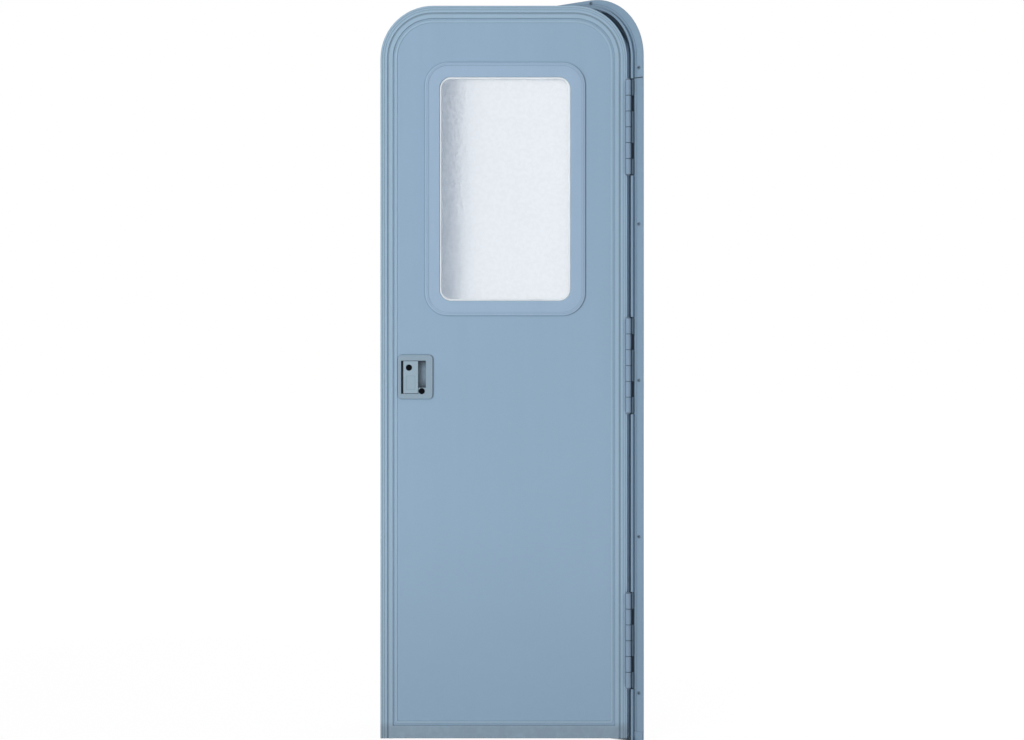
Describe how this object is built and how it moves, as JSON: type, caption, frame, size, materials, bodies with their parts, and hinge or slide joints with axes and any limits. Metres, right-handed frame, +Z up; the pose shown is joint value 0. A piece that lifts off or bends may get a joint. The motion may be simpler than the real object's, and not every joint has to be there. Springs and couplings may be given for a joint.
{
  "type": "caravan entry door",
  "caption": "Radius-cornered caravan entry door ajar in its flanged frame, with obscure-glass window, butt hinges and a flush pull-paddle lock.",
  "frame": {"origin": "middle of the sill's underside, on the plane where the flange meets the wall's outer skin", "axes": "+X towards the hinge side, -Y to the outside, +Z up"},
  "size_m": [0.6872, 0.4132, 1.8501],
  "materials": {
    "painted_frame": "satin blue-grey paint on aluminium extrusion",
    "sill_aluminium": "mill finish, brushed along its length",
    "seal_rubber": "matt black bulb seal",
    "painted_hinge": "satin blue-grey paint, worn at the knuckle edges",
    "hinge_pin_steel": "painted over, dull",
    "painted_edge": "satin blue-grey paint on aluminium extrusion",
    "painted_skin": "satin blue-grey paint on smooth sheet",
    "inner_skin": "off-white satin sheet",
    "foam_core": "rigid foam",
    "window_trim": "satin blue-grey moulding",
    "obscure_glass": "pebbled obscure glass",
    "lock_cast": "painted die casting",
    "key_black": "black",
    "latch_steel": "zinc-plated steel",
    "inside_plastic": "fine-grained black moulding"
  },
  "bodies": {
    "frame": {"frame_head": "painted_frame", "frame_hinge_jamb": "painted_frame", "frame_latch_jamb": "painted_frame", "frame_sill": "sill_aluminium", "frame_seal": "seal_rubber", "strike_plate": "latch_steel", "upper_hinge_frame_leaf": "painted_hinge", "middle_hinge_frame_leaf": "painted_hinge", "lower_hinge_frame_leaf": "painted_hinge", "upper_hinge_pin": "hinge_pin_steel", "middle_hinge_pin": "hinge_pin_steel", "lower_hinge_pin": "hinge_pin_steel"},
    "door": {"door_edge_frame": "painted_edge", "door_bottom_rail": "painted_edge", "door_outer_skin": "painted_skin", "door_inner_skin": "inner_skin", "door_core": "foam_core", "skin_bead": "painted_edge", "window_outer_trim": "window_trim", "window_inner_trim": "window_trim", "window_glass": "obscure_glass", "upper_hinge_door_leaf": "painted_hinge", "middle_hinge_door_leaf": "painted_hinge", "lower_hinge_door_leaf": "painted_hinge", "lock_bezel": "lock_cast", "lock_key_cylinder": "key_black", "lock_pivot_pin": "latch_steel", "latch_edge_plate": "latch_steel", "latch_bolts": "latch_steel", "inside_lock_plate": "inside_plastic", "inside_lock_lever": "inside_plastic", "inside_thumb_turn": "inside_plastic"},
    "paddle": {"lock_paddle": "lock_cast", "paddle_key_cylinder": "key_black"}
  },
  "joints": [
    {"name": "door_swing", "type": "hinge", "parent": "frame", "child": "door", "pos_m": [0.3075, -0.0132, 0.93], "axis": [0, 0, 1], "range_deg": [-36, 134]},
    {"name": "paddle_pull", "type": "hinge", "parent": "door", "child": "paddle", "pos_m": [-0.14626, -0.32965, 0.9012], "axis": [0, 0, -1], "range_deg": [0, 28], "stiffness_Nm_per_rad": 0.6}
  ]
}
